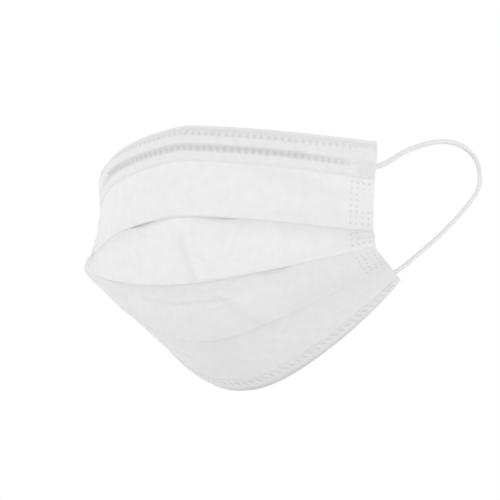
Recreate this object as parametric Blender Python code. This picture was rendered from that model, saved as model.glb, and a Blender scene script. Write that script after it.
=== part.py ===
"""A pleated surgical face mask, opened as it is when worn, with two elastic ear loops.

The mask faces -Y, +X is the wearer's left and +Z is up. The origin is where the top edge sits on
the bridge of the nose. Sizes are in millimetres up to the last step, which writes metres.
"""
import math
from collections import namedtuple

import bpy
import numpy as np

MM = 0.001

# Cloth
CLOTH_WIDTH = 175.0  # along every fold, from side edge to side edge
FLAT_HEIGHT = 95.0  # with the pleats closed, as the sides still are
WALL = 1.0  # the plies together
GAP = 0.3  # between pieces
PLEAT_GAP = 0.6  # between the layers of a closed pleat
PLEAT_DEPTH = 9.5  # from a fold's lip to the hidden fold behind it, at the deepest closed pleat
PLEAT_LEAST = 2.6  # the same where the mask is open and has pulled the cloth out
PLEAT_OPENING = 120.0  # how far a pleat opens there, in degrees
PANEL_BULGE = 0.8  # how far a panel swells between two folds
SIDE_DIP = 3.0  # how much less, or inwards, the upper panel does so at the side edges

# The worn shape
OPEN_HEIGHT = 108.0  # from the top edge to the bottom edge, on the centre line
SIDE_HEIGHT = 54.6  # the same at the side edge, which turns back under the jaw
NOSE_RISE = 6.6  # the top edge's centre above its ends
CHIN_DEPTH = 52.7  # the bottom edge's centre behind the top edge's centre
NOSE_SOFTNESS = 0.14  # how round each fold line's middle is, as a share of half the width

# One row for each fold line that shows, from the top edge to the bottom edge.
# back: its centre behind the top edge's centre, a share of CHIN_DEPTH
# drop: its centre below the top edge's centre, a share of OPEN_HEIGHT
# side_drop: its end below the top edge's end, a share of SIDE_HEIGHT
# heading: the plan angle in degrees that it has turned back by at the side
# roundness: above 1 it turns early, at the nose, and less at the cheek
# ease: the power by which it falls or rises towards the side
# panel: the closed height of the cloth above it, a share of FLAT_HEIGHT
# depth: how deep its pleat is, a share of PLEAT_DEPTH
Fold = namedtuple("Fold", "back drop side_drop heading roundness ease panel depth")
FOLDS = (
    Fold(0.00, 0.000, 0.000, 45.0, 1.80, 0.68, 0.000, 0.0),
    Fold(-0.10, 0.354, 0.697, 40.0, 2.15, 0.72, 0.415, 1.0),
    Fold(-0.03, 0.624, 0.825, 42.0, 1.60, 1.25, 0.115, 0.85),
    Fold(0.40, 0.834, 0.940, 36.5, 1.36, 1.17, 0.140, 0.6),
    Fold(1.00, 1.000, 1.000, 40.0, 1.12, 1.22, 0.330, 0.0),
)

# Top band and nose wire
BAND_FRONT = 15.4  # down the outer face
BAND_BACK = 6.0  # down the inner face
WIRE_LENGTH = 104.0
WIRE_WIDTH = 3.6
WIRE_THICKNESS = 0.8
WIRE_DOWN = 6.6  # its middle below the top edge
RIDGE_SLOPE = 1.6  # the band's run up to the wire

# Bottom hem
HEM_FRONT = 9.5
HEM_BACK = 4.0

# Ear loops and their flattened, welded ends
CORD_DIAMETER = 2.3
END_LENGTH = 9.0
END_WIDTH = 5.0
END_THICKNESS = 1.0
END_PAST_EDGE = 0.8  # beyond the cloth's side edge
END_TOP_TILT = 24.0  # degrees that the upper end turns up by
END_BOTTOM_TILT = -18.0  # degrees that the lower end turns back by
END_TOP_DOWN = 11.3  # the upper end's middle below the top edge
END_BOTTOM_UP = 9.4  # the lower end's middle above the bottom edge

# The loop at +X from its upper end to its lower one; the other is its mirror image.
LOOP_ROUTE = (
    (77.0, 59.0, -4.5), (81.0, 70.0, 0.0), (84.5, 80.5, 2.5), (87.5, 92.0, 2.5),
    (89.3, 101.5, -1.0), (89.5, 107.5, -7.0), (88.0, 109.0, -15.0), (84.5, 104.5, -23.0),
    (80.0, 96.0, -32.5), (75.5, 87.0, -41.0), (71.5, 78.5, -48.0),
)

# Mesh fineness
STATIONS = 29  # sections across the width
FOLD_STEPS = 4  # straight pieces in a fold's turn
PANEL_STEPS = 4  # pieces down a panel
EDGE_STEPS = 6  # straight pieces over the top and bottom edges
CORD_SIDES = 2  # bevel resolution
CORD_STEP = 2.3  # between the tube's points, in diameters

HALF = CLOTH_WIDTH / 2
LAYER = WALL + GAP
FACE_CENTRE = np.array([0.0, 1.3 * CHIN_DEPTH, -0.42 * OPEN_HEIGHT])
SEAT = np.array([0.0, -(1.5 * WALL + GAP), 0.5 * BAND_BACK])  # top edge's centre from the origin


def unit(v):
    return v / np.linalg.norm(v)


def soft_share(u):
    """0 at the middle and 1 at the side, with no kink at the middle."""
    return (math.hypot(u, NOSE_SOFTNESS) - NOSE_SOFTNESS) / (math.hypot(1, NOSE_SOFTNESS) - NOSE_SOFTNESS)


def fold_line(fold, shares):
    """Points on a fold line at shares 0 to 1 of half the width, keeping the cloth's length."""
    middle_z = -fold.drop * OPEN_HEIGHT
    side_z = -NOSE_RISE - fold.side_drop * SIDE_HEIGHT
    fine = np.linspace(0, 1, 241)
    z = np.array([middle_z + (side_z - middle_z) * soft_share(u) ** fold.ease for u in fine])
    run = np.sqrt(np.maximum((HALF * np.diff(fine)) ** 2 - np.diff(z) ** 2, 1e-6))
    mid = (fine[1:] + fine[:-1]) / 2
    turn = np.radians(fold.heading) * (fold.roundness * mid + (1 - fold.roundness) * mid ** 3)
    x = np.concatenate([[0], np.cumsum(run * np.cos(turn))])
    y = np.concatenate([[0], np.cumsum(run * np.sin(turn))]) + fold.back * CHIN_DEPTH
    line = np.stack([np.interp(shares, fine, axis) for axis in (x, y, z)], -1)
    return line + SEAT


def full_line(fold, shares):
    """A fold line at shares -1 to 1 of half the width."""
    line = fold_line(fold, np.abs(shares))
    line[:, 0] *= np.sign(shares)
    return line


def inward(start, end, along):
    """The cloth's normal towards the face, between two fold lines."""
    normal = unit(np.cross(end - start, along))
    return normal if normal @ (FACE_CENTRE - start) > 0 else -normal


def straight(start, end, steps, bulge, normal):
    """Points after start up to end, swelling away from the face between them."""
    shares = np.arange(1, steps + 1) / steps
    return [start + (end - start) * t - normal * bulge * math.sin(math.pi * t) for t in shares]


def turn_points(start, heading, side, angle, radius, steps):
    """Points on an arc that starts along heading and bends towards side."""
    angles = [angle * (k + 1) / steps for k in range(steps)]
    return [start + radius * (math.sin(a) * heading + (1 - math.cos(a)) * side) for a in angles]


def pleat(above, start, end, along, arriving, pitch, depth, layer):
    """The cloth from one lip, up behind it to the hidden fold, and down to the next lip.

    Where the mask is open, more of the cloth shows and less of it stays behind the lip. The hidden
    fold stays below the lip above.
    """
    radius = layer / 2
    down = unit(end - start)
    reach = float(np.linalg.norm(end - start))
    cloth = pitch + 2 * depth
    room = max(float(np.linalg.norm(start - above)) - 3.4 * layer, layer)
    depth = min(depth, max((cloth - reach) / 2, PLEAT_LEAST), room)
    along_down = (reach ** 2 - cloth ** 2 + 2 * cloth * depth) / (2 * reach)
    opening = math.acos(max(-1.0, min(1.0, -along_down / depth)))
    opening = min(opening, math.radians(PLEAT_OPENING))

    way = unit(arriving * (1 - opening / math.pi) + down * opening / math.pi)
    deep = inward(start, start + way, along)
    rising = -way * math.cos(opening) + deep * math.sin(opening)
    lip_side = unit(deep - (deep @ arriving) * arriving)
    lip_angle = math.atan2(rising @ lip_side, rising @ arriving) % (2 * math.pi)
    points = turn_points(start, arriving, lip_side, lip_angle, radius, FOLD_STEPS)
    crest = points[-1] + rising * depth
    points += straight(points[-1], crest, 2, 0, deep)

    closed_knee = start + way * (radius + WALL) + deep * 2 * layer
    eased = min(opening / math.radians(70), 1.0)
    eased = eased * eased * (3 - 2 * eased)
    knee = closed_knee * (1 - eased) + (crest * 0.75 + end * 0.25) * eased
    falling = unit(knee - crest)
    crest_side = way * (rising @ deep) - deep * (rising @ way)
    crest_angle = max(math.atan2(falling @ crest_side, falling @ rising), 0.02)
    points += turn_points(crest, rising, crest_side, crest_angle, radius, FOLD_STEPS)
    points += straight(points[-1], knee, 2, 0, deep)
    points += straight(knee, end, PANEL_STEPS, PANEL_BULGE, inward(knee, end, along))
    return points


def cloth_grid(shares, layer=WALL + PLEAT_GAP):
    """Middle surface of the pleated cloth: a row for each station, top edge to bottom edge."""
    lines = [full_line(fold, shares) for fold in FOLDS]
    alongs = [np.gradient(line, axis=0) for line in lines]
    rows = []
    for k in range(len(shares)):
        ends = [line[k] for line in lines]
        normal = inward(ends[0], ends[1], alongs[0][k])
        bulge = PANEL_BULGE - SIDE_DIP * abs(shares[k]) ** 3
        row = [ends[0]] + straight(ends[0], ends[1], 2 * PANEL_STEPS, bulge, normal)
        for i in range(1, len(FOLDS) - 1):
            pitch = FOLDS[i + 1].panel * FLAT_HEIGHT
            arriving = unit(row[-1] - row[-2])
            depth = FOLDS[i].depth * PLEAT_DEPTH
            row += pleat(*ends[i - 1:i + 2], alongs[i][k], arriving, pitch, depth, layer)
        rows.append(row)
    return np.array(rows)


def grid_offset(grid, distance):
    """The grid moved away from the face by a distance, measured square to its surface."""
    steps = np.diff(grid, axis=1)
    steps /= np.linalg.norm(steps, axis=2, keepdims=True)
    before = np.concatenate([steps[:, :1], steps], axis=1)
    after = np.concatenate([steps, steps[:, -1:]], axis=1)
    down = before + after
    down /= np.linalg.norm(down, axis=2, keepdims=True)
    normals = np.cross(down, np.gradient(grid, axis=0))
    normals /= np.linalg.norm(normals, axis=2, keepdims=True)
    mitre = 1 / np.maximum(np.sum(down * after, axis=2, keepdims=True), 0.8)
    return grid + normals * mitre * distance


def new_object(name, points, faces, colour, roughness, metallic=0.0):
    mesh = bpy.data.meshes.new(name)
    mesh.from_pydata([tuple(p * MM) for p in points], [], faces)
    obj = bpy.data.objects.new(name, mesh)
    bpy.context.scene.collection.objects.link(obj)
    finish_object(obj, colour, roughness, metallic)
    return obj


def finish_object(obj, colour, roughness, metallic=0.0):
    material = bpy.data.materials.new(obj.name)
    material.use_nodes = True
    shader = material.node_tree.nodes["Principled BSDF"]
    shader.inputs["Base Color"].default_value = (*colour, 1)
    shader.inputs["Roughness"].default_value = roughness
    shader.inputs["Metallic"].default_value = metallic
    obj.data.materials.append(material)


def sheet_object(name, outer, inner, colour, roughness, metallic=0.0):
    """One closed body between two grids of points of the same size."""
    rows, columns = outer.shape[:2]
    points = np.concatenate([outer.reshape(-1, 3), inner.reshape(-1, 3)])
    back = rows * columns

    def at(i, j, layer=0):
        return i * columns + j + layer * back

    faces = []
    for i in range(rows - 1):
        for j in range(columns - 1):
            faces.append((at(i, j), at(i, j + 1), at(i + 1, j + 1), at(i + 1, j)))
            faces.append((at(i, j, 1), at(i + 1, j, 1), at(i + 1, j + 1, 1), at(i, j + 1, 1)))
    for i in range(rows - 1):
        faces.append((at(i, 0), at(i + 1, 0), at(i + 1, 0, 1), at(i, 0, 1)))
        last = columns - 1
        faces.append((at(i, last), at(i, last, 1), at(i + 1, last, 1), at(i + 1, last)))
    for j in range(columns - 1):
        faces.append((at(0, j), at(0, j, 1), at(0, j + 1, 1), at(0, j + 1)))
        last = rows - 1
        faces.append((at(last, j), at(last, j + 1), at(last, j + 1, 1), at(last, j, 1)))
    obj = new_object(name, points, faces, colour, roughness, metallic)
    obj.data.shade_smooth()
    obj.data.set_sharp_from_angle(angle=math.radians(50))
    return obj


WHITE_CLOTH = (0.86, 0.87, 0.88)
WHITE_ELASTIC = (0.90, 0.90, 0.90)
WIRE_METAL = (0.75, 0.76, 0.77)


class Cloth:
    """The middle surface of the cloth, read from its top edge or its bottom edge."""

    def __init__(self, shares, from_top):
        self.shares = shares
        grid = cloth_grid(shares)
        outer = grid_offset(grid, 1.0)
        order = 1 if from_top else -1
        count = 2 * PANEL_STEPS if from_top else PANEL_STEPS
        self.rows = grid[:, ::order][:, :count + 1]
        self.outs = (outer - grid)[:, ::order][:, :count + 1]

    def at(self, share, down):
        """The point at a share of half the width and a distance from the edge, and its normal."""
        k = min(int(np.searchsorted(self.shares, share, side="right")) - 1, len(self.shares) - 2)
        mix = (share - self.shares[k]) / (self.shares[k + 1] - self.shares[k])
        row = self.rows[k] * (1 - mix) + self.rows[k + 1] * mix
        outs = self.outs[k] * (1 - mix) + self.outs[k + 1] * mix
        lengths = np.concatenate([[0], np.cumsum(np.linalg.norm(np.diff(row, axis=0), axis=1))])
        if down < 0:
            return row[0] + unit(row[1] - row[0]) * down, unit(outs[0])
        point = np.array([np.interp(down, lengths, axis) for axis in row.T])
        return point, unit(np.array([np.interp(down, lengths, axis) for axis in outs.T]))

    def grid(self, shares, profile):
        """Points for pairs of (down, out), which profile gives for each share of half the width."""
        rows = []
        for share in shares:
            spots = [(self.at(share, down), out) for down, out in profile(share)]
            rows.append([point + normal * out for (point, normal), out in spots])
        return np.array(rows)


def over_edge(front, back, front_bends=()):
    """Pairs (down, out) from a front flap's lower end, over the cloth's edge, to the back flap's end."""
    pairs = [(front, LAYER), *front_bends]
    for k in range(EDGE_STEPS + 1):
        angle = math.pi * k / EDGE_STEPS
        pairs.append((-math.sin(angle) * LAYER, math.cos(angle) * LAYER))
    return pairs + [(back / 2, -LAYER), (back, -LAYER)]


def ridge(share):
    """How far the top band stands off to clear the nose wire: full past its ends, then down to 0."""
    spacing = 2 * HALF / (STATIONS - 1)
    full = WIRE_LENGTH / 2 + 2 * spacing
    return (WIRE_THICKNESS + GAP) * min(max((full - abs(share) * HALF) / spacing, 0), 1)


def band_profile(share):
    half = WIRE_WIDTH / 2 + GAP
    top, bottom = WIRE_DOWN - half, WIRE_DOWN + half
    raised = LAYER + ridge(share)
    bends = (
        (bottom + 2 * RIDGE_SLOPE, LAYER), (bottom + RIDGE_SLOPE, LAYER), (bottom, raised),
        (top, raised), (top - RIDGE_SLOPE, LAYER),
    )
    return over_edge(BAND_FRONT, BAND_BACK, bends)


def hem_profile(share):
    return over_edge(HEM_FRONT, HEM_BACK, ((HEM_FRONT / 2, LAYER),))


def wrapped_edge(name, cloth, shares, profile):
    """A cloth strip folded over an edge of the mask."""
    grid = cloth.grid(shares, profile)
    sheet_object(name, grid_offset(grid, WALL / 2), grid_offset(grid, -WALL / 2), WHITE_CLOTH, 0.8)


def nose_wire(cloth):
    reach = WIRE_LENGTH / CLOTH_WIDTH
    shares = np.linspace(-reach, reach, 19)
    base = WALL / 2 + GAP
    half = WIRE_WIDTH / 2

    def face(out):
        return cloth.grid(shares, lambda share: [(WIRE_DOWN + half, out), (WIRE_DOWN - half, out)])

    sheet_object("nose_wire", face(base), face(base + WIRE_THICKNESS), WIRE_METAL, 0.35, 0.9)


def loop_end(name, cloth, down, tilt, side):
    """A flattened end of the elastic, on the inner face, and the cord's first two points from it."""
    middle_share = 1 + (END_PAST_EDGE - END_LENGTH / 2) / HALF
    middle, out = cloth.at(middle_share, down)
    ahead, _ = cloth.at(1.0, down)
    behind, _ = cloth.at(1.0 - END_LENGTH / HALF, down)
    level = unit(ahead - behind)
    upward = unit(np.cross(out, level))
    tilt = math.radians(tilt)
    along = level * math.cos(tilt) + upward * math.sin(tilt)
    across = upward * math.cos(tilt) - level * math.sin(tilt)
    middle = middle - out * (WALL / 2 + GAP + END_THICKNESS / 2)
    # Length and width shares of the outline's upper half, from the inner end to the cord's end
    outline = ((-1.0, 0.55), (-0.85, 1.0), (0.2, 1.0), (0.7, 0.6), (1.0, 0.42))
    rim = [(a, w) for a, w in outline] + [(a, -w) for a, w in reversed(outline)]
    points = []
    for layer in (-0.5, 0.5):
        for a, w in rim:
            spot = middle + along * a * END_LENGTH / 2 + across * w * END_WIDTH / 2
            points.append(spot + out * layer * END_THICKNESS)
    points = [p * np.array([side, 1, 1]) for p in points]
    count = len(rim)
    faces = [tuple(range(count)), tuple(range(2 * count - 1, count - 1, -1))]
    faces += [(k, k + count, (k + 1) % count + count, (k + 1) % count) for k in range(count)]
    if (np.cross(points[1] - points[0], points[2] - points[1]) @ (out * np.array([side, 1, 1]))) > 0:
        faces = [tuple(reversed(face)) for face in faces]
    new_object(name, points, faces, WHITE_ELASTIC, 0.7)
    tip = middle + along * (END_LENGTH / 2 + GAP)
    return tip, tip + along * CORD_STEP * CORD_DIAMETER


def smooth_route(knots, step):
    """Points at equal steps along a smooth curve through the knots."""
    knots = [np.array(k, float) for k in knots]
    ends = [2 * knots[0] - knots[1], *knots, 2 * knots[-1] - knots[-2]]
    fine = []
    for a, b, c, d in zip(ends, ends[1:], ends[2:], ends[3:]):
        for t in np.linspace(0, 1, 24, endpoint=False):
            fine.append(0.5 * (2 * b + (c - a) * t + (2 * a - 5 * b + 4 * c - d) * t ** 2
                               + (3 * b - a - 3 * c + d) * t ** 3))
    fine = np.array([*fine, knots[-1]])
    along = np.concatenate([[0], np.cumsum(np.linalg.norm(np.diff(fine, axis=0), axis=1))])
    marks = np.linspace(0, along[-1], round(along[-1] / step) + 1)
    return np.stack([np.interp(marks, along, axis) for axis in fine.T], -1)


def ear_loop(name, knots, side):
    points = smooth_route(knots, CORD_STEP * CORD_DIAMETER) * np.array([side, 1, 1])
    curve = bpy.data.curves.new(name, "CURVE")
    curve.dimensions = "3D"
    spline = curve.splines.new("POLY")
    spline.points.add(len(points) - 1)
    for spot, point in zip(spline.points, points):
        spot.co = (*(point * MM), 1)
    curve.bevel_depth = CORD_DIAMETER / 2 * MM
    curve.bevel_resolution = CORD_SIDES
    curve.use_fill_caps = True
    obj = bpy.data.objects.new(name, curve)
    bpy.context.scene.collection.objects.link(obj)
    finish_object(obj, WHITE_ELASTIC, 0.7)


def main():
    for obj in list(bpy.data.objects):
        bpy.data.objects.remove(obj)
    shares = np.linspace(-1, 1, STATIONS)
    grid = cloth_grid(shares)
    sheet_object("mask_body", grid_offset(grid, WALL / 2), grid_offset(grid, -WALL / 2), WHITE_CLOTH, 0.8)
    upper, lower = Cloth(shares, from_top=True), Cloth(shares, from_top=False)
    wrapped_edge("top_band", upper, shares, band_profile)
    wrapped_edge("bottom_hem", lower, shares, hem_profile)
    nose_wire(upper)
    for side, word in ((1, "left"), (-1, "right")):
        first = loop_end(f"loop_end_{word}_top", upper, END_TOP_DOWN, END_TOP_TILT, side)
        last = loop_end(f"loop_end_{word}_bottom", lower, END_BOTTOM_UP, END_BOTTOM_TILT, side)
        ear_loop(f"ear_loop_{word}", [*first, *LOOP_ROUTE, *reversed(last)], side)


main()
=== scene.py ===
"""Looks of the pleated surgical face mask: welded nonwoven cloth, nose band, hem and ear loops.

Sizes are in millimetres, in the part's own frame: -Y is the front, +X the wearer's left, +Z up, and
the origin is where the top edge sits on the bridge of the nose. Meshes are written in metres.
"""
import math
from collections import namedtuple

import bpy
import numpy as np
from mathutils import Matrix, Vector


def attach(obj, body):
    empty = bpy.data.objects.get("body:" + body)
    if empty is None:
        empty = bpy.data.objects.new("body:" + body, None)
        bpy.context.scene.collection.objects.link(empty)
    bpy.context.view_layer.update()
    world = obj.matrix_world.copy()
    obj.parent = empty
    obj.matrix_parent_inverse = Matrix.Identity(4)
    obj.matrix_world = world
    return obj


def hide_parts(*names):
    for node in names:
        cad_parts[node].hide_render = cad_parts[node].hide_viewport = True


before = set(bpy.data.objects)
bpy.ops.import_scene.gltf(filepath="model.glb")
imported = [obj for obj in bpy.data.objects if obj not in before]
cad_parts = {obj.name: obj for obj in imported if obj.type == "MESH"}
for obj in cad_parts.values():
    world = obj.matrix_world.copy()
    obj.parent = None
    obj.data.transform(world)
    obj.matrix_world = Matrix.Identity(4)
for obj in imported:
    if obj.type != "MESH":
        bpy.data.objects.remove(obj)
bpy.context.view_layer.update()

MM = 0.001

# The photograph's view
PICTURE = 500  # pixels across and down
CAMERA_AZIMUTH = 30.7
CAMERA_ELEVATION = -10.1
CAMERA_DISTANCE = 1100.0
FOCUS = (0.0, 38.2, -3.62)  # a point on the mask that the distance is measured from
FOCUS_PIXEL = (228.9, 157.7)  # where that point lies in the photograph
FOCAL_PIXELS = 2481.6
SENSOR = 36.0

# Cloth, as in the part's source but with its real, thinner plies
CLOTH_WIDTH = 175.0
FLAT_HEIGHT = 95.0
PLEAT_DEPTH = 9.5
PLEAT_LEAST = 1.4  # a pleat's depth where it is drawn open
PLEAT_EASE = 2.2  # over how much depth it changes to that
PLEAT_OPENING = 120.0  # degrees that a pleat may swing open
PLY = 0.45  # the mask's three plies together
STRIP_PLY = 0.26  # the band's and the hem's cloth
PLEAT_LAYER = 0.72  # between the middles of two layers of a closed pleat
CREST_ROOM = 3.4 * PLEAT_LAYER  # from a closed pleat's crest to the lip above it
KNEE_DOWN = 0.8 * PLY  # from a closed pleat's lip to its knee, past the lip's own turn
KNEE_OPENING = 70.0  # degrees of opening at which the knee is straight
KNEE_ALONG = 0.25  # where it then lies, from the crest to the next lip
CREST_TURN = 0.02  # radians, the least that a pleat's crest turns
EDGE_TURN = 1.6  # how far a strip's fold stands beyond the cloth's edge
STRIP_LIFT = 0.48  # from the middle of the mask's cloth to the near face of a strip on it
STRIP_TOUCH = PLY / 2 + 0.02  # the same where the strip is pressed onto the cloth
RAW_PLY = 0.10  # a strip's thickness at its raw edge
RAW_REACH = 1.8  # and how far from the edge it thins
END_SEAL = (4.0, 0.5)  # from a strip's end to where it starts to be pressed shut, and is shut
PRESSED_TINT = 0.8  # how glazed a strip is where it is pressed
MOST_TINT = 1.3  # and at most, with the painted shade
PANEL_BULGE = 0.8
SIDE_DIP = 3.0
TOP_LEAN = 1.5  # how far the top edge leans back to the face
TOP_REACH = 2.2  # how far down it leans by a third or more

# The worn shape
OPEN_HEIGHT = 108.0
SIDE_HEIGHT = 54.6
NOSE_RISE = 6.6
CHIN_DEPTH = 52.7
NOSE_SOFTNESS = 0.14
SEAT = np.array([0.0, -1.8, 3.0])  # the top edge's centre from the origin

# One row for each fold line, from the top edge to the bottom edge, as in the part's source.
# back, drop: its centre behind and below the top edge's, shares of CHIN_DEPTH and OPEN_HEIGHT
# side_drop: its end below the top edge's end, a share of SIDE_HEIGHT
# heading, roundness, ease: how it turns back and falls towards the side
# panel, depth: its panel's closed height and its pleat's depth, shares of FLAT_HEIGHT and PLEAT_DEPTH
Fold = namedtuple("Fold", "back drop side_drop heading roundness ease panel depth")
FOLDS = (
    Fold(0.00, 0.000, 0.000, 45.0, 1.80, 0.68, 0.000, 0.0),
    Fold(-0.10, 0.354, 0.697, 40.0, 2.15, 0.72, 0.415, 1.0),
    Fold(-0.03, 0.624, 0.825, 42.0, 1.60, 1.25, 0.115, 0.85),
    Fold(0.40, 0.834, 0.940, 36.5, 1.36, 1.17, 0.140, 0.6),
    Fold(1.00, 1.000, 1.000, 40.0, 1.12, 1.22, 0.330, 0.0),
)

# Weld dots along both sides, measured from the side edge and up from each fold's lip
DOT_COLUMNS = 4
DOT_PITCH = 2.64
DOT_FIRST_IN = 2.4
DOT_FIRST_UP = 2.3
DOT_RADIUS = 0.62
DOT_PRESS = 0.24  # how deep they are on the front
DOT_BACK = 0.6  # and on the back, as a share of that
DOT_CLEAR = (0.8, 1.6)  # below the lip above, from where dots start and are whole
DOT_LEAST = 0.56  # the faintest dot, as a share of the sharpest
DOT_WAVES = (12.9, 78.2, 37.7)  # radians of the uneven press for each column, row and panel
WORN_COLUMNS = 2  # columns and rows of the first panel's dots that hardly show
WORN_ROWS = (3, 5)
WORN_PRESS = 0.2

# The creased lip of each fold
LIP_ROLL = 0.14  # how far it stands out
LIP_HALF = 0.7  # half the roll's height
LIP_SHADE = (0.0, 0.62, 0.12, 0.10)  # how much shade is painted on each panel just below the lip above it
LIP_SHADE_REACH = 4.6
CREASE_SHADE = 0.9  # painted shade in a crease, for each millimetre of its dip
CREASE_CLEAR = 4.0  # how far from the band and the hem a crease is whole
CREASE_BESIDE = 1.8  # how far off a crease's raised side is, in widths of its dip
CREASE_SIDE = 1.3  # how wide that side is
CREASE_END = 1.5  # and how far past its ends the crease fades

# Soft creases in the panels: from and to, as x and the share of the panel's height, then how far the
# cloth dips, how wide the dip is and how far the cloth stands up beside it, on the side of larger x
Crease = namedtuple("Crease", "panel x1 share1 x2 share2 dip width rise")
CREASES = (
    Crease(1, 2.0, 0.12, 7.5, 1.00, 0.40, 3.0, 0.35),
    Crease(0, 40.5, 0.44, 67.0, 0.59, 0.30, 4.5, 0.35),
    Crease(2, -26.0, 0.07, 16.5, 0.13, 0.30, 1.5, 0.20),
    Crease(2, 15.0, 0.10, 28.0, 1.00, 0.25, 2.0, 0.25),
    Crease(3, -24.0, 0.37, -17.0, 0.39, 0.40, 1.6, 0.30),
)

# Top band: two rows of welded dashes with the nose wire between them
BAND_FRONT = 15.4
BAND_BACK = 6.0
BAND_ROWS = (3.1, 10.0)  # below the top edge
DASH_PITCH = 3.0
DASH_HALF_WIDTH = 0.66
DASH_HALF_HEIGHT = 1.15
DASHES_END = 78.0  # from the mask's middle
DASHES_FADE = 0.5
BAND_PUFF = 0.35  # above the first row
WIRE_DOWN = 6.6
WIRE_LENGTH = 104.0
WIRE_LIFT = 2.0  # from the cloth's middle to the band's near face, over the wire
RIDGE_TOP = 1.9  # half the width of the ridge's flat top
RIDGE_FOOT = 1.3  # from there down to the cloth
RIDGE_PAST = (7.0, 2.0)  # past the wire's end, where the ridge ends and where it is whole
INNER_EDGE = 12.6  # the hidden raw edge that shows as a fine line
INNER_EDGE_DIP = 0.12
INNER_EDGE_REACH = 0.9
GROOVE = (7.6, 8.4, 10.7, 11.4)  # the painted shade around the second row: starts, is whole, fades, ends
# how dark that painted shade is
GROOVE_SHADE = 0.75
GROOVE_FADE = 8.0  # along the band, before the last dash
EDGE_FADE = (2.5, 3.5)  # the painted shade above the first row: fades, ends
# how dark that painted shade is
EDGE_SHADE = 0.35
PATCH_ALONG = (77.4, 79.6, 85.9, 87.3)  # the pressed corner patch from the mask's middle
PATCH_DOWN = (6.8, 9.4, 13.6, 15.3)  # and down from the top edge
PATCH_PRESS = 0.4

# Bottom hem: one row of slanted welded dashes
HEM_FRONT = 7.6
HEM_BACK = 4.0
HEM_ROW = 5.2  # above the bottom edge
HEM_PITCH = 3.3
HEM_DASH_HALF_LENGTH = 1.7
HEM_DASH_HALF_WIDTH = 0.55
HEM_SLANT = 32.0  # degrees from upright
HEM_DASHES_END = 84.0  # from the mask's middle
HEM_PUFF = 0.42  # between the dashes and the edge
HEM_FULLNESS = 0.7  # under 1 for a fuller puff
RIM_FADE = (0.2, 3.0)  # the painted shade at the edge: fades, ends
# how dark that painted shade is
RIM_SHADE = 0.85

# Ear loops: the part's route for the wearer's left, end to end
CORD_DIAMETER = 2.3
LOOP_ROUTE = (
    (70.28, 43.61, -12.92), (73.52, 47.34, -11.05), (77.0, 59.0, -4.5), (81.0, 70.0, 0.0),
    (84.5, 80.5, 2.5), (87.5, 92.0, 2.5), (89.3, 101.5, -1.0), (89.5, 107.5, -7.0),
    (88.0, 109.0, -15.0), (84.5, 104.5, -23.0), (80.0, 96.0, -32.5), (75.5, 87.0, -41.0),
    (71.5, 78.5, -48.0), (70.04, 70.91, -52.81), (67.48, 67.28, -55.68),
)
KNIT_PITCH = 0.85  # from one stitch to the next along the cord
KNIT_RIBS = 8
KNIT_RELIEF = 0.018
LOOP_STRETCH = 0.12  # how much thinner the tighter lower run is
STRETCH_SHARES = (0.35, 0.7)  # along the cord, from where it thins and is thin

# Flattened, welded ends of the loops
END_LENGTH = 9.3
END_OVER_CORD = 0.25  # how far an end goes on over the cord
END_LIFT = 0.55  # how far its tip is lifted towards the cloth
GRIP_PITCH = 1.5  # its small pressed marks
GRIP_RADIUS = 0.4
GRIP_PRESS = 0.35  # a share of the thickness
GRIP_FIRST = (0.6, 1.0)  # from the tip, where marks start and are whole
GRIP_LAST = (0.52, 0.62)  # shares of the length where they fade and end

# Shares from the flattened end's inner tip to the cord: half width, half thickness, squareness
EndSection = namedtuple("EndSection", "along half_width half_thickness square")
END_SECTIONS = (
    EndSection(0.00, 1.5, 0.22, 3.0),
    EndSection(0.06, 2.2, 0.34, 4.0),
    EndSection(0.55, 2.4, 0.38, 4.0),
    EndSection(0.80, 1.7, 0.70, 3.0),
    EndSection(1.00, 1.1, 1.06, 2.0),
)

# Mesh fineness
FINE = DOT_PITCH / 6
SIDE_WIDTH = 14.0  # of the cloth's finely divided sides
MIDDLE_STEP = 1.5
STRIP_STEP = 0.5  # along the band and the hem
LIP_STEPS = 6
RISE_STEPS = 7
TURN_STEPS = 10  # around a strip's fold
FOLD_STATIONS = 601  # along half a fold line, to measure its length
ROUTE_STEPS = 24  # between two points of the loops' route
CORD_STEP = 0.25
CORD_SIDES = 24
END_RINGS = 48
END_SIDES = 32
SHARP_ANGLE = 60.0  # degrees between faces from which an edge isn't smoothed
MITRE_LEAST = 0.8  # keeps a sheet's thickness from growing in a sharp bend
ON_A_FACE = 0.99  # a strip's side is over this where it lies on a face of the cloth

# Studio
FLOOR_Z = -290.0
FLOOR_SIZE = 6000.0
FLOOR_TONE = 0.95
ROOM_LIGHT = 2.0  # the room's even light, level with the mask
OVERHEAD_LIGHT = 0.56  # and overhead

# Worked out from the sizes above
HALF = CLOTH_WIDTH / 2
FACE_CENTRE = np.array([0.0, 1.3 * CHIN_DEPTH, -0.42 * OPEN_HEIGHT])  # inside the wearer's head


def unit(v):
    return v / np.linalg.norm(v)


def smooth(value, low, high):
    """0 below low and 1 above high, eased between them."""
    t = np.clip((value - low) / (high - low), 0, 1)
    return t * t * (3 - 2 * t)


def within(value, starts, whole, fades, ends):
    """1 from whole to fades and 0 outside starts and ends, eased between them."""
    return smooth(value, starts, whole) * (1 - smooth(value, fades, ends))


# Camera, world and floor

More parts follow.
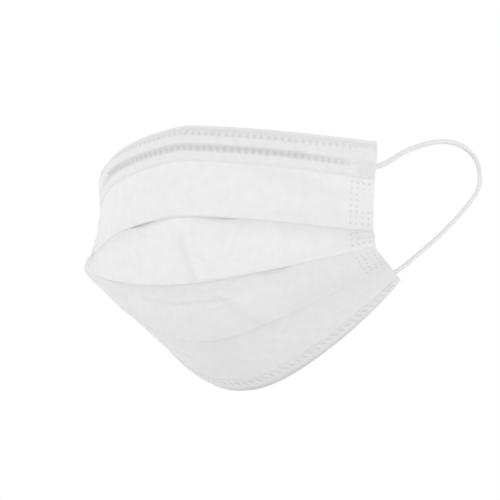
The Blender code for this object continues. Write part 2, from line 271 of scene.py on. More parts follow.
def place_camera():
    """The camera at the photograph's angles, with FOCUS at FOCUS_PIXEL."""
    azimuth, elevation = math.radians(CAMERA_AZIMUTH), math.radians(CAMERA_ELEVATION)
    right = Vector((math.cos(azimuth), math.sin(azimuth), 0))
    level = Vector((-math.sin(azimuth), math.cos(azimuth), 0))
    view = level * math.cos(elevation) - Vector((0, 0, 1)) * math.sin(elevation)
    up = right.cross(view)
    middle = PICTURE / 2
    aim = view + right * (middle - FOCUS_PIXEL[0]) / FOCAL_PIXELS
    aim -= up * (middle - FOCUS_PIXEL[1]) / FOCAL_PIXELS
    camera = bpy.data.objects.new("camera", bpy.data.cameras.new("camera"))
    camera.data.sensor_width = SENSOR
    camera.data.lens = FOCAL_PIXELS * SENSOR / PICTURE
    camera.data.clip_start = 0.05
    camera.location = (Vector(FOCUS) - view * CAMERA_DISTANCE) * MM
    camera.rotation_euler = aim.to_track_quat("-Z", "Y").to_euler()
    bpy.context.scene.collection.objects.link(camera)
    bpy.context.scene.camera = camera


class Shader:
    """A material's nodes, with a short way to add one and join its inputs."""

    def __init__(self, name, colour, roughness):
        self.material = bpy.data.materials.new(name)
        self.material.use_nodes = True
        self.nodes = self.material.node_tree.nodes
        self.links = self.material.node_tree.links
        self.surface = self.nodes["Principled BSDF"]
        self.surface.inputs["Base Color"].default_value = (*colour, 1)
        self.surface.inputs["Roughness"].default_value = roughness

    def set(self, node, values):
        for key, value in values.items():
            if isinstance(value, bpy.types.NodeSocket):
                self.links.new(value, node.inputs[key])
            else:
                node.inputs[key].default_value = value

    def add(self, kind, values, **settings):
        node = self.nodes.new(kind)
        for key, value in settings.items():
            setattr(node, key, value)
        self.set(node, values)
        return node

    def math(self, operation, *values):
        node = self.nodes.new("ShaderNodeMath")
        node.operation = operation
        self.set(node, dict(enumerate(values)))
        return node.outputs[0]

    def noise(self, place, scale, detail=4.0, roughness=0.6, stretch=(1, 1, 1)):
        mapped = self.add("ShaderNodeMapping", {"Vector": place, "Scale": stretch})
        values = {"Vector": mapped.outputs[0], "Scale": scale, "Detail": detail, "Roughness": roughness}
        return self.add("ShaderNodeTexNoise", values).outputs["Fac"]

    def span(self, value, low, high, to_low, to_high):
        values = {"Value": value, "From Min": low, "From Max": high, "To Min": to_low, "To Max": to_high}
        return self.add("ShaderNodeMapRange", values).outputs[0]

    def mix(self, share, first, second):
        node = self.nodes.new("ShaderNodeMix")
        node.data_type = "RGBA"
        self.set(node, {0: share, 6: first, 7: second})
        return node.outputs[2]


def studio():
    """An even white room that the camera sees as pure white, over a pale floor."""
    scene = bpy.context.scene
    scene.view_settings.view_transform = "Standard"
    world = bpy.data.worlds.new("studio")
    scene.world = world
    world.use_nodes = True
    nodes, links = world.node_tree.nodes, world.node_tree.links
    seen = nodes["Background"]
    seen.inputs["Color"].default_value = (1, 1, 1, 1)
    soft = nodes.new("ShaderNodeBackground")
    kinds = ("ShaderNodeTexCoord", "ShaderNodeSeparateXYZ", "ShaderNodeMapRange")
    place, parts, rise = (nodes.new(kind) for kind in kinds)
    rise.inputs["To Min"].default_value = ROOM_LIGHT
    rise.inputs["To Max"].default_value = OVERHEAD_LIGHT
    links.new(place.outputs["Generated"], parts.inputs[0])
    links.new(parts.outputs["Z"], rise.inputs["Value"])
    links.new(rise.outputs[0], soft.inputs["Strength"])
    rays, mix = nodes.new("ShaderNodeLightPath"), nodes.new("ShaderNodeMixShader")
    links.new(rays.outputs["Is Camera Ray"], mix.inputs[0])
    links.new(soft.outputs[0], mix.inputs[1])
    links.new(seen.outputs[0], mix.inputs[2])
    links.new(mix.outputs[0], nodes["World Output"].inputs["Surface"])

    bpy.ops.mesh.primitive_plane_add(size=FLOOR_SIZE * MM, location=(0, 0, FLOOR_Z * MM))
    floor = bpy.context.object
    floor.name = "floor"
    shader = Shader("floor", (FLOOR_TONE,) * 3, 0.7)
    place = shader.add("ShaderNodeTexCoord", {}).outputs["Object"]
    grain = shader.span(shader.noise(place, 40), 0.3, 0.7, 0.0, 1.0)
    worn, clean = (*[FLOOR_TONE * 0.97] * 3, 1), (*[FLOOR_TONE * 1.03] * 3, 1)
    shader.set(shader.surface, {"Base Color": shader.mix(grain, worn, clean)})
    floor.data.materials.append(shader.material)


# Materials

def nonwoven(name, tone, formation, lattice):
    """Spunbond cloth: cloudy fibres, rows of fine bond points, and a darker, glossier tone for the welds
    and the painted shade.
    """
    shader = Shader(name, tone, 0.82)
    place = shader.add("ShaderNodeUVMap", {}, uv_map="cloth").outputs[0]
    cloud = shader.noise(place, formation, 5, 0.62)
    fibres = shader.math("ADD", shader.noise(place, 2.2, 7, 0.75, (0.35, 2.6, 1)),
                         shader.noise(place, 2.0, 7, 0.75, (2.4, 0.4, 1)))
    apart = shader.add("ShaderNodeSeparateXYZ", {"Vector": place})
    waves = []
    for way in ("ADD", "SUBTRACT"):
        slanted = shader.math(way, apart.outputs[0], apart.outputs[1])
        waves.append(shader.math("SINE", shader.math("MULTIPLY", slanted, 2 * math.pi / lattice)))
    bonds = shader.span(shader.math("MULTIPLY", *waves), 0.35, 0.85, 0.0, 1.0)
    weld = shader.add("ShaderNodeAttribute", {}, attribute_name="weld").outputs["Fac"]

    low = (*(c * 0.975 for c in tone), 1)
    high = (*(c * 1.02 for c in tone), 1)
    # the darker tone for the welds and for the painted shade under the lips, in creases and along the
    # strips' edges
    glazed_and_shaded = (*(c * 0.78 for c in tone), 1)
    fibre_share = shader.span(fibres, 0.7, 1.3, -0.18, 0.18)
    share = shader.math("ADD", shader.span(cloud, 0.32, 0.68, 0.0, 1.0), fibre_share)
    share = shader.math("SUBTRACT", share, shader.math("MULTIPLY", bonds, 0.22))
    colour = shader.mix(shader.math("MULTIPLY", weld, 0.75), shader.mix(share, low, high), glazed_and_shaded)

    height = shader.math("ADD", shader.math("MULTIPLY", fibres, 0.5), shader.math("MULTIPLY", cloud, 0.35))
    height = shader.math("SUBTRACT", height, shader.math("MULTIPLY", bonds, 0.5))
    bump = shader.add("ShaderNodeBump", {"Height": height, "Strength": 0.22, "Distance": 0.00012})
    rough = shader.span(weld, 0.0, 1.0, 0.86, 0.62)
    shader.set(shader.surface, {
        "Base Color": colour, "Roughness": rough, "Normal": bump.outputs[0],
        "Sheen Weight": 0.12, "Sheen Roughness": 0.6, "Specular IOR Level": 0.32,
        "Subsurface Weight": 0.12, "Subsurface Radius": (1.0, 1.0, 1.0), "Subsurface Scale": 0.001,
    })
    return shader.material


def elastic(name, tone):
    """Knitted elastic: matt yarn with painted shade between its stitches."""
    shader = Shader(name, tone, 0.75)
    place = shader.add("ShaderNodeUVMap", {}, uv_map="cloth").outputs[0]
    yarn = shader.noise(place, 3.0, 6, 0.7, (1.0, 2.2, 1))
    groove_shade = shader.add("ShaderNodeAttribute", {}, attribute_name="weld").outputs["Fac"]
    low = (*(c * 0.86 for c in tone), 1)
    high = (*(min(c * 1.03, 0.97) for c in tone), 1)
    # painted shade between the stitches, and in the welded ends' pressed marks
    shaded = shader.math("MULTIPLY", groove_shade, 0.12)
    share = shader.math("SUBTRACT", shader.span(yarn, 0.3, 0.7, 0.6, 1.0), shaded)
    bump = shader.add("ShaderNodeBump", {"Height": yarn, "Strength": 0.3, "Distance": 0.00012})
    shader.set(shader.surface, {
        "Base Color": shader.mix(share, low, high), "Normal": bump.outputs[0],
        "Roughness": shader.span(yarn, 0.3, 0.7, 0.9, 0.72),
        "Sheen Weight": 0.25, "Sheen Roughness": 0.5, "Specular IOR Level": 0.3,
    })
    return shader.material


def wire_metal():
    """Drawn, softly brushed metal strip."""
    shader = Shader("nose_wire_metal", (0.72, 0.73, 0.74), 0.4)
    place = shader.add("ShaderNodeTexCoord", {}).outputs["Object"]
    drawn = shader.noise(place, 900, 5, 0.6, (0.06, 1.0, 1.0))
    bump = shader.add("ShaderNodeBump", {"Height": drawn, "Strength": 0.2, "Distance": 0.00005})
    shader.set(shader.surface, {
        "Metallic": 1.0, "Roughness": shader.span(drawn, 0.3, 0.7, 0.34, 0.5), "Normal": bump.outputs[0],
        "Base Color": shader.mix(drawn, (0.66, 0.67, 0.68, 1), (0.78, 0.79, 0.80, 1)),
    })
    return shader.material


# Meshes

def new_piece(name, points, faces, uv, weld, material):
    """A mesh piece that rides on the part, with its cloth coordinates and how far it is pressed, plus the
    painted shade on it.
    """
    mesh = bpy.data.meshes.new(name)
    mesh.from_pydata((np.asarray(points) * MM).tolist(), [], faces)
    corners = np.empty(len(mesh.loops), dtype=np.int32)
    mesh.loops.foreach_get("vertex_index", corners)
    mesh.uv_layers.new(name="cloth").data.foreach_set("uv", np.asarray(uv)[corners].ravel())
    mesh.attributes.new("weld", "FLOAT", "POINT").data.foreach_set("value", np.asarray(weld, dtype=float))
    mesh.shade_smooth()
    mesh.set_sharp_from_angle(angle=math.radians(SHARP_ANGLE))
    mesh.materials.append(material)
    obj = bpy.data.objects.new(name, mesh)
    bpy.context.scene.collection.objects.link(obj)
    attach(obj, "root")
    return obj


def solid_sheet(name, outer, inner, uv, weld, material):
    """One closed body between two grids of points of the same size."""
    rows, columns = outer.shape[:2]
    index = np.arange(rows * columns).reshape(rows, columns)
    a, b, c, d = index[:-1, :-1], index[:-1, 1:], index[1:, 1:], index[1:, :-1]
    back = rows * columns
    faces = [np.stack([a, b, c, d], -1).reshape(-1, 4), np.stack([a, d, c, b], -1).reshape(-1, 4) + back]
    for rim, turned in ((index[:, 0], False), (index[:, -1], True), (index[0], True), (index[-1], False)):
        first, second = rim[:-1], rim[1:]
        quad = np.stack([first, second, second + back, first + back], -1)
        faces.append(quad[:, ::-1] if turned else quad)
    points = np.concatenate([outer.reshape(-1, 3), inner.reshape(-1, 3)])
    both = np.concatenate([uv.reshape(-1, 2)] * 2)
    return new_piece(name, points, np.concatenate(faces).tolist(), both,
                     np.concatenate([weld.ravel()] * 2), material)


def tube_faces(rings, sides):
    """Faces of a closed tube: its sides, then both ends' caps."""
    faces = []
    for i in range(rings - 1):
        for j in range(sides):
            k = (j + 1) % sides
            faces.append((i * sides + j, i * sides + k, (i + 1) * sides + k, (i + 1) * sides + j))
    last = (rings - 1) * sides
    return faces + [tuple(range(sides))[::-1], tuple(range(last, last + sides))]


# The pleated cloth, from the same fold lines as the part

def soft_share(u):
    """0 at the middle and 1 at the side, with no kink at the middle."""
    return (np.hypot(u, NOSE_SOFTNESS) - NOSE_SOFTNESS) / (math.hypot(1, NOSE_SOFTNESS) - NOSE_SOFTNESS)


def fold_line(fold, shares):
    """Points on a fold line at shares -1 to 1 of half the width, keeping the cloth's length."""
    middle_z = -fold.drop * OPEN_HEIGHT
    side_z = -NOSE_RISE - fold.side_drop * SIDE_HEIGHT
    fine = np.linspace(0, 1, FOLD_STATIONS)
    z = middle_z + (side_z - middle_z) * soft_share(fine) ** fold.ease
    run = np.sqrt(np.maximum((HALF * np.diff(fine)) ** 2 - np.diff(z) ** 2, 1e-6))
    mid = (fine[1:] + fine[:-1]) / 2
    turn = np.radians(fold.heading) * (fold.roundness * mid + (1 - fold.roundness) * mid ** 3)
    x = np.concatenate([[0], np.cumsum(run * np.cos(turn))])
    y = np.concatenate([[0], np.cumsum(run * np.sin(turn))]) + fold.back * CHIN_DEPTH
    line = np.stack([np.interp(np.abs(shares), fine, axis) for axis in (x, y, z)], -1)
    line[:, 0] *= np.sign(shares)
    return line + SEAT


def inward(start, end, along):
    """The cloth's normal towards the face, between two fold lines."""
    normal = unit(np.cross(end - start, along))
    return normal if normal @ (FACE_CENTRE - start) > 0 else -normal


def straight(start, end, steps, bulge, normal):
    """Points after start up to end, swelling away from the face between them."""
    shares = np.arange(1, steps + 1)[:, None] / steps
    return list(start + (end - start) * shares - normal * bulge * np.sin(math.pi * shares))


def turn_points(start, heading, side, angle, radius):
    """Points on an arc that starts along heading and bends towards side."""
    angles = angle * np.arange(1, LIP_STEPS + 1)[:, None] / LIP_STEPS
    return list(start + radius * (np.sin(angles) * heading + (1 - np.cos(angles)) * side))


def panel_steps(fold):
    return round(fold.panel * FLAT_HEIGHT / FINE)


def soft_most(first, second, softness):
    """The larger of two lengths, with an even change from one to the other where they are close."""
    share = max(0.0, min(1.0, 0.5 + (second - first) / (2 * softness)))
    return first + (second - first) * share + softness * share * (1 - share)


def pleat(above, start, end, along, arriving, pitch, depth, steps):
    """The cloth from one lip, up behind it to the hidden fold, and down to the next lip."""
    radius = PLEAT_LAYER / 2
    down = unit(end - start)
    reach = float(np.linalg.norm(end - start))
    cloth = pitch + 2 * depth
    room = max(float(np.linalg.norm(start - above)) - CREST_ROOM, PLEAT_LAYER)
    depth = min(depth, soft_most((cloth - reach) / 2, PLEAT_LEAST, PLEAT_EASE), room)
    along_down = (reach ** 2 - cloth ** 2 + 2 * cloth * depth) / (2 * reach)
    opening = math.acos(max(-1.0, min(1.0, -along_down / depth)))
    opening = min(opening, math.radians(PLEAT_OPENING))

    way = unit(arriving * (1 - opening / math.pi) + down * opening / math.pi)
    deep = inward(start, start + way, along)
    rising = -way * math.cos(opening) + deep * math.sin(opening)
    lip_side = unit(deep - (deep @ arriving) * arriving)
    lip_angle = math.atan2(rising @ lip_side, rising @ arriving) % (2 * math.pi)
    points = turn_points(start, arriving, lip_side, lip_angle, radius)
    crest = points[-1] + rising * depth
    points += straight(points[-1], crest, RISE_STEPS, 0, deep)

    closed_knee = start + way * (radius + KNEE_DOWN) + deep * radius
    open_knee = crest * (1 - KNEE_ALONG) + end * KNEE_ALONG
    eased = smooth(opening, 0, math.radians(KNEE_OPENING))
    knee = closed_knee * (1 - eased) + open_knee * eased
    falling = unit(knee - crest)
    crest_side = way * (rising @ deep) - deep * (rising @ way)
    crest_angle = max(math.atan2(falling @ crest_side, falling @ rising), CREST_TURN)
    points += turn_points(crest, rising, crest_side, crest_angle, radius)
    points += straight(points[-1], knee, RISE_STEPS, 0, deep)
    points += straight(knee, end, steps, PANEL_BULGE, inward(knee, end, along))
    return points


def cloth_grid(shares):
    """Middle surface of the pleated cloth: a row for each station, top edge to bottom edge."""
    lines = [fold_line(fold, shares) for fold in FOLDS]
    alongs = [np.gradient(line, axis=0) for line in lines]
    rows = []
    for k in range(len(shares)):
        ends = [line[k] for line in lines]
        normal = inward(ends[0], ends[1], alongs[0][k])
        bulge = PANEL_BULGE - SIDE_DIP * abs(shares[k]) ** 3
        row = [ends[0]] + straight(ends[0], ends[1], panel_steps(FOLDS[1]), bulge, normal)
        for i in range(round(3 * TOP_REACH / FINE)):
            row[i] = row[i] + normal * TOP_LEAN * math.exp(-(i * FINE / TOP_REACH) ** 2)
        for i in range(1, len(FOLDS) - 1):
            pitch = FOLDS[i + 1].panel * FLAT_HEIGHT
            arriving = unit(row[-1] - row[-2])
            depth = FOLDS[i].depth * PLEAT_DEPTH
            steps = panel_steps(FOLDS[i + 1])
            row += pleat(*ends[i - 1:i + 2], alongs[i][k], arriving, pitch, depth, steps)
        rows.append(row)
    return np.array(rows)


def panel_columns():
    """The first and last column of each panel that shows, between one lip and the next."""
    spans = []
    column = 0
    for fold in FOLDS[1:]:
        first = column if not spans else column + 2 * (LIP_STEPS + RISE_STEPS)
        column = first + panel_steps(fold)
        spans.append((first, column))
    return spans


def grid_offset(grid, distance):
    """The grid moved away from the face by a distance, measured square to its surface."""
    steps = np.diff(grid, axis=1)
    steps /= np.linalg.norm(steps, axis=2, keepdims=True)
    before = np.concatenate([steps[:, :1], steps], axis=1)
    after = np.concatenate([steps, steps[:, -1:]], axis=1)
    down = before + after
    down /= np.linalg.norm(down, axis=2, keepdims=True)
    normals = np.cross(down, np.gradient(grid, axis=0))
    normals /= np.linalg.norm(normals, axis=2, keepdims=True)
    mitre = 1 / np.maximum(np.sum(down * after, axis=2, keepdims=True), MITRE_LEAST)
    if np.ndim(distance) == 2:
        distance = distance[:, :, None]
    return grid + normals * mitre * distance


def lengths_down(grid):
    """Each point's distance from its row's first point, along the cloth."""
    steps = np.linalg.norm(np.diff(grid, axis=1), axis=2)
    return np.concatenate([np.zeros((len(grid), 1)), np.cumsum(steps, axis=1)], axis=1)


def body_shares():
    """Stations across the width, close together in the welded sides."""
    side = np.arange(0, SIDE_WIDTH, FINE)
    middle = HALF - SIDE_WIDTH
    count = 2 * round(middle / MIDDLE_STEP)
    inner = np.linspace(-middle, middle, count + 1)
    return np.concatenate([side - HALF, inner, (HALF - side)[::-1]]) / HALF


def press(across, up, radius, height):
    """1 in the middle of a pressed mark, falling to 0 outside it."""
    return np.exp(-((across / radius) ** 2 + (up / height) ** 2) ** 2)


def weld_dots(from_edge, from_lip, panel):
    """How far the side welds press the cloth, 0 to 1, at distances from the edge and the lip."""
    column = np.clip(np.round((from_edge - DOT_FIRST_IN) / DOT_PITCH), 0, DOT_COLUMNS - 1)
    row = np.maximum(np.round((from_lip - DOT_FIRST_UP) / DOT_PITCH), 0)
    across = from_edge - DOT_FIRST_IN - column * DOT_PITCH
    up = from_lip - DOT_FIRST_UP - row * DOT_PITCH
    wave = np.sin(DOT_WAVES[0] * column + DOT_WAVES[1] * row + DOT_WAVES[2] * panel)
    uneven = (1 + DOT_LEAST) / 2 + (1 - DOT_LEAST) / 2 * wave
    worn = (panel == 0) & (column < WORN_COLUMNS) & (row >= WORN_ROWS[0]) & (row <= WORN_ROWS[1])
    dot = press(across, up, DOT_RADIUS, DOT_RADIUS) * np.where(worn, WORN_PRESS, uneven)
    inside = from_edge < DOT_FIRST_IN + (DOT_COLUMNS - 0.5) * DOT_PITCH
    return dot * inside


def crease_relief(x, length, share, crease):
    """How far a crease moves the cloth out at an x and a share of its panel's length."""
    run, fall = crease.x2 - crease.x1, (crease.share2 - crease.share1) * length
    reach = np.hypot(run, fall)
    off_x, off_y = x - crease.x1, (share - crease.share1) * length
    along = (off_x * run + off_y * fall) / reach
    across = (off_x * fall - off_y * run) / reach * np.where(fall < 0, -1, 1)
    dip = -crease.dip * np.exp(-(across / crease.width) ** 2)
    beside = across - CREASE_BESIDE * crease.width
    rise = crease.rise * np.exp(-(beside / (CREASE_SIDE * crease.width)) ** 2)
    past = np.maximum(np.maximum(-along, along - reach), 0)
    return (dip + rise) * np.exp(-(past / (CREASE_END * crease.width)) ** 2)


def mask_body(material):
    """The pleated cloth, with its weld dots, rolled lips, creases, and painted shade below the lips and in
    the creases.
    """
    shares = body_shares()
    grid = cloth_grid(shares)
    down = lengths_down(grid)
    from_edge = (HALF * (1 - np.abs(shares)))[:, None]
    weld, roll, relief, shade = (np.zeros(down.shape) for _ in range(4))
    lip_above = 0
    x = (shares * HALF)[:, None]
    for panel, (first, last) in enumerate(panel_columns()):
        here = slice(first, last + 1)
        from_top = down[:, here] - down[:, first:first + 1]
        from_lip = down[:, last:last + 1] - down[:, here]
        length = down[:, last:last + 1] - down[:, first:first + 1]
        below = np.linalg.norm(grid[:, here] - grid[:, lip_above:lip_above + 1], axis=2)
        # painted shade just below each lip, where the lip's shadow falls
        shade[:, here] = LIP_SHADE[panel] * np.exp(-(below / LIP_SHADE_REACH) ** 2)
        lip_above = last
        if panel < len(FOLDS) - 2:
            clear = np.clip((from_top - DOT_CLEAR[0]) / (DOT_CLEAR[1] - DOT_CLEAR[0]), 0, 1)
            weld[:, here] = weld_dots(from_edge, from_lip, panel) * clear
            roll[:, here] = np.exp(-((from_lip - LIP_HALF) / LIP_HALF) ** 2)
        for crease in CREASES:
            if crease.panel == panel:
                moved = crease_relief(x, length, 1 - from_lip / length, crease)
                relief[:, here] += moved
                # painted shade in the crease's dip
                shade[:, here] += CREASE_SHADE * np.maximum(-moved, 0)
    from_hem = down[:, -1:] - down
    relief *= smooth(down, BAND_FRONT, BAND_FRONT + CREASE_CLEAR)
    relief *= smooth(from_hem, HEM_FRONT, HEM_FRONT + CREASE_CLEAR)
    outer = grid_offset(grid, relief + PLY / 2 - DOT_PRESS * weld + LIP_ROLL * roll)
    inner = grid_offset(grid, relief - PLY / 2 + DOT_BACK * DOT_PRESS * weld)
    uv = np.stack(np.broadcast_arrays(x, down), -1)
    # the weld dots and the painted shade go to the material together
    body = solid_sheet("mask_cloth_body", outer, inner, uv, weld + shade, material)
    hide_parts("mask_body")
    return body


def edge_strip(name, shares, from_top, profile, material):
    """A cloth strip folded over an edge; profile gives down, out, ply, and the pressed tint with its
    painted shade, for each share.
    """
    grid = cloth_grid(shares)
    out_ways = grid_offset(grid, 1.0) - grid
    order = 1 if from_top else -1
    first, last = panel_columns()[0 if from_top else -1]
    count = last - first + 1
    grid, out_ways = grid[:, ::order][:, :count], out_ways[:, ::order][:, :count]
    lengths = lengths_down(grid)
    rows, plies, pressed_and_shade = [], [], []
    for k, share in enumerate(shares):
        down, out, ply, mark = profile(share)
        point = np.stack([np.interp(down, lengths[k], axis) for axis in grid[k].T], -1)
        point += unit(grid[k, 1] - grid[k, 0]) * np.minimum(down, 0)[:, None]
        normal = np.stack([np.interp(down, lengths[k], axis) for axis in out_ways[k].T], -1)
        normal /= np.linalg.norm(normal, axis=1, keepdims=True)
        rows.append(point + normal * out[:, None])
        plies.append(ply)
        pressed_and_shade.append(mark)
    middle, plies = np.array(rows), np.array(plies)
    uv = np.stack(np.broadcast_arrays((shares * HALF)[:, None], lengths_down(middle)), -1)
    outer, inner = grid_offset(middle, -plies / 2), grid_offset(middle, plies / 2)
    return solid_sheet(name, outer, inner, uv, np.array(pressed_and_shade), material)


def over_edge(front, back):
    """Distances down a strip's front, turn and back, and its side: 1 in front, -1 behind."""
    front_down = np.linspace(front, 0, round(front / FINE) + 1)[:-1]
    back_down = np.linspace(0, back, round(back / FINE) + 1)[1:]
    angles = np.linspace(0, math.pi, TURN_STEPS + 1)
    down = np.concatenate([front_down, -np.sin(angles) * EDGE_TURN, back_down])
    side = np.concatenate([np.ones(len(front_down)), np.cos(angles), -np.ones(len(back_down))])
    return down, side


def band_profile(share):
    """The top band at a share of half the width: dashes, the wire's ridge, the pressed patch, and painted
    shade in the groove around the second row and above the first.
    """
    down, side = over_edge(BAND_FRONT, BAND_BACK)
    x = share * HALF
    front = side > ON_A_FACE
    along = (x / DASH_PITCH + 0.5) % 1 * DASH_PITCH - DASH_PITCH / 2
    pressed = np.zeros(len(down))
    for row in BAND_ROWS:
        pressed += press(along, down - row, DASH_HALF_WIDTH, DASH_HALF_HEIGHT)
    pressed *= smooth(DASHES_END - abs(x), 0, DASHES_FADE)
    pressed += PATCH_PRESS * within(abs(x), *PATCH_ALONG) * within(down, *PATCH_DOWN) * front
    wire = 1 - smooth(np.abs(down - WIRE_DOWN), RIDGE_TOP, RIDGE_TOP + RIDGE_FOOT)
    wire *= smooth(-abs(x), *(-WIRE_LENGTH / 2 - past for past in RIDGE_PAST))
    puff = BAND_PUFF * np.sin(np.pi * np.clip(down / BAND_ROWS[0], 0, 1))
    fine_line = INNER_EDGE_DIP * (1 - smooth(np.abs(down - INNER_EDGE), 0.0, INNER_EDGE_REACH))
    lift = STRIP_LIFT + puff + np.where(front, (WIRE_LIFT - STRIP_LIFT) * wire - fine_line, 0)
    # painted shade around the second row and above the first row, on the front only
    shade = GROOVE_SHADE * within(down, *GROOVE) * smooth(DASHES_END - abs(x), 0, GROOVE_FADE)
    shade += EDGE_SHADE * (1 - smooth(down, *EDGE_FADE))
    return strip_layers(x, down, side, lift, pressed, shade * front, BAND_FRONT, BAND_BACK)


def strip_layers(x, down, side, lift, pressed, shade, front, back):
    """A strip's down, out, ply, and its pressed tint plus painted shade, from its lift, flat at the
    pressed places, the raw edges and both ends.
    """
    sealed = smooth(abs(x), HALF - END_SEAL[0], HALF - END_SEAL[1])
    edge = np.where(side > 0, front, back)
    raw = (1 - smooth(edge - down, 0.0, RAW_REACH)) * (np.abs(side) > ON_A_FACE)
    ply = STRIP_PLY + (RAW_PLY - STRIP_PLY) * raw
    lift = lift + (STRIP_TOUCH - lift) * np.maximum(np.maximum(raw, pressed), sealed)
    return down, side * (lift + ply / 2), ply, np.minimum(pressed * PRESSED_TINT + shade, MOST_TINT)


def hem_profile(share):
    """The bottom hem at a share of half the width: slanted dashes and a puffed edge with painted shade."""
    down, side = over_edge(HEM_FRONT, HEM_BACK)
    x = share * HALF
    slant = math.radians(HEM_SLANT)
    leaning = x + (down - HEM_ROW) * math.tan(slant)
    along = ((leaning / HEM_PITCH + 0.5) % 1 - 0.5) * HEM_PITCH * math.cos(slant)
    up = (down - HEM_ROW) / math.cos(slant)
    pressed = press(along, up, HEM_DASH_HALF_WIDTH, HEM_DASH_HALF_LENGTH)
    pressed *= smooth(HEM_DASHES_END - abs(x), 0, DASHES_FADE)
    puff = HEM_PUFF * np.sin(np.pi * np.clip(down / HEM_ROW, 0, 1)) ** HEM_FULLNESS
    # painted shade along the hem's front edge
    rim = RIM_SHADE * (1 - smooth(down, *RIM_FADE)) * (side > 0)
    return strip_layers(x, down, side, STRIP_LIFT + puff, pressed, rim, HEM_FRONT, HEM_BACK)


# Ear loops

def smooth_route(knots, step):
    """Points at equal steps along a smooth curve through the knots."""
    knots = [np.array(k, float) for k in knots]
    ends = [2 * knots[0] - knots[1], *knots, 2 * knots[-1] - knots[-2]]
    fine = []
    for a, b, c, d in zip(ends, ends[1:], ends[2:], ends[3:]):
        for t in np.linspace(0, 1, ROUTE_STEPS, endpoint=False):
            fine.append(0.5 * (2 * b + (c - a) * t + (2 * a - 5 * b + 4 * c - d) * t ** 2
                               + (3 * b - a - 3 * c + d) * t ** 3))
    fine = np.array([*fine, knots[-1]])
    along = np.concatenate([[0], np.cumsum(np.linalg.norm(np.diff(fine, axis=0), axis=1))])
    pressed_and_shade = np.linspace(0, along[-1], round(along[-1] / step) + 1)
    return np.stack([np.interp(pressed_and_shade, along, axis) for axis in fine.T], -1)


def ear_loop(name, side, material):
    """A knitted cord along the part's route: stacked stitches in ribs along it, with painted shade between
    them.
    """
    path = smooth_route(LOOP_ROUTE, CORD_STEP) * np.array([side, 1, 1])
    tangents = np.gradient(path, axis=0)
    tangents /= np.linalg.norm(tangents, axis=1, keepdims=True)
    normal = unit(np.cross(tangents[0], [0.0, 0.0, 1.0]))
    angles = np.arange(CORD_SIDES) / CORD_SIDES * 2 * math.pi
    points, uv, groove_shades = [], [], []
    for k, (spot, tangent) in enumerate(zip(path, tangents)):
        normal = unit(normal - (normal @ tangent) * tangent)
        other = np.cross(tangent, normal)
        rib = (angles / (2 * math.pi) * KNIT_RIBS) % 1 - 0.5
        stitch = k * CORD_STEP / KNIT_PITCH + np.abs(rib)
        height = np.cos(2 * math.pi * stitch) * 0.5 + np.cos(2 * math.pi * rib) * 0.5
        thinner = 1 - LOOP_STRETCH * float(smooth(k / len(path), *STRETCH_SHARES))
        radius = (CORD_DIAMETER / 2) * thinner - KNIT_RELIEF + KNIT_RELIEF * height
        ways = np.cos(angles)[:, None] * normal + np.sin(angles)[:, None] * other
        points.append(spot + radius[:, None] * ways)
        uv.append(np.stack([angles * CORD_DIAMETER / 2, np.full(CORD_SIDES, k * CORD_STEP)], -1))
        # painted shade in the grooves between stitches
        groove_shades.append(0.5 - 0.5 * height)
    obj = new_piece(name, np.concatenate(points), tube_faces(len(path), CORD_SIDES), np.concatenate(uv),
                    np.concatenate(groove_shades), material)
    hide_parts(name.replace("knitted_", ""))


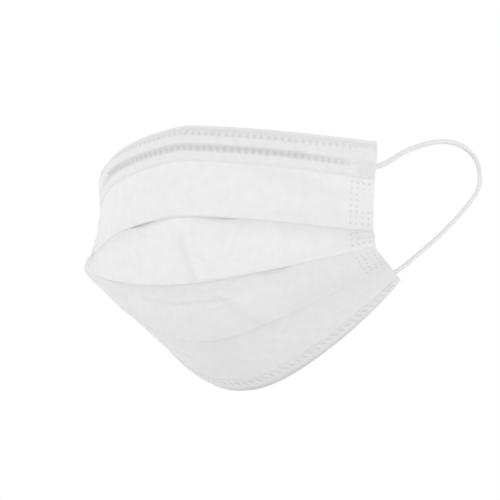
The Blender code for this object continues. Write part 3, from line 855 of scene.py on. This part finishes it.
def loop_end(name, level, side, cloth, material):
    """The flattened, welded end of a loop on the cloth's inner face, swelling into the cord."""
    tip, lead = np.array(LOOP_ROUTE[:2] if level == "top" else LOOP_ROUTE[:-3:-1])
    heel = tip - unit(lead - tip) * END_LENGTH
    out = cloth_out(cloth, level, heel)
    heel += out * END_LIFT
    along = unit(tip - heel)
    out = unit(out - (out @ along) * along)
    across = np.cross(along, out)
    reach = float(np.linalg.norm(tip - heel)) + END_OVER_CORD
    angles = np.arange(END_SIDES) / END_SIDES * 2 * math.pi
    keys = [section.along for section in END_SECTIONS]
    points, uv, weld = [], [], []
    for t in np.linspace(0, 1, END_RINGS):
        width, thick, square = (np.interp(t, keys, [getattr(s, field) for s in END_SECTIONS])
                                for field in ("half_width", "half_thickness", "square"))
        cos, sin = np.cos(angles), np.sin(angles)
        a = np.sign(cos) * np.abs(cos) ** (2 / square) * width
        b = np.sign(sin) * np.abs(sin) ** (2 / square) * thick
        u = t * reach
        off_u, off_a = (((place / GRIP_PITCH + 0.5) % 1 - 0.5) * GRIP_PITCH for place in (u, a))
        mark = press(off_u, off_a, GRIP_RADIUS, GRIP_RADIUS)
        mark *= (1 - smooth(t, *GRIP_LAST)) * smooth(u, *GRIP_FIRST)
        b *= 1 - GRIP_PRESS * mark
        points.append(heel + along * u + a[:, None] * across + b[:, None] * out)
        uv.append(np.stack([a, np.full(END_SIDES, u)], -1))
        # the marks' depth, which the material also darkens as painted shade
        weld.append(mark)
    points = np.concatenate(points) * np.array([side, 1, 1])
    faces = tube_faces(END_RINGS, END_SIDES)
    if side > 0:
        faces = [face[::-1] for face in faces]
    obj = new_piece(name, points, faces, np.concatenate(uv), np.concatenate(weld), material)
    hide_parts(name.replace("welded_", ""))


def cloth_out(cloth, level, place):
    """The cloth's outward normal nearest a place, on the panel at the top or the bottom."""
    grid, normals = cloth
    first, last = panel_columns()[0 if level == "top" else -1]
    block = grid[:, first:last + 1]
    nearest = np.argmin(np.linalg.norm(block - place, axis=2))
    i, j = np.unravel_index(nearest, block.shape[:2])
    return unit(normals[i, first + j])


# The object

place_camera()
studio()

cord_look = elastic("knitted_elastic", (0.84, 0.84, 0.84))
end_look = elastic("welded_elastic", (0.82, 0.82, 0.82))
body_look = nonwoven("nonwoven_body", (0.845, 0.845, 0.845), 0.22, 1.5)
band_look = nonwoven("nonwoven_band", (0.845, 0.845, 0.845), 0.30, 1.3)
hem_look = nonwoven("nonwoven_hem", (0.84, 0.84, 0.84), 0.30, 1.3)

for word, side in (("left", 1), ("right", -1)):
    ear_loop(f"knitted_ear_loop_{word}", side, cord_look)

body = mask_body(body_look)
strip_shares = np.linspace(-1, 1, round(CLOTH_WIDTH / STRIP_STEP) + 1)
band = edge_strip("nonwoven_top_band", strip_shares, True, band_profile, band_look)
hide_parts("top_band")
hem = edge_strip("nonwoven_bottom_hem", strip_shares, False, hem_profile, hem_look)
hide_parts("bottom_hem")

side_grid = cloth_grid(np.linspace(0.8, 1, 15))  # the fifth of the cloth where a loop is welded
side_cloth = (side_grid, grid_offset(side_grid, 1.0) - side_grid)
for word, side in (("left", 1), ("right", -1)):
    for level in ("top", "bottom"):
        loop_end(f"welded_loop_end_{word}_{level}", level, side, side_cloth, end_look)

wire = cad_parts["nose_wire"]
wire.data.materials.clear()
wire.data.materials.append(wire_metal())
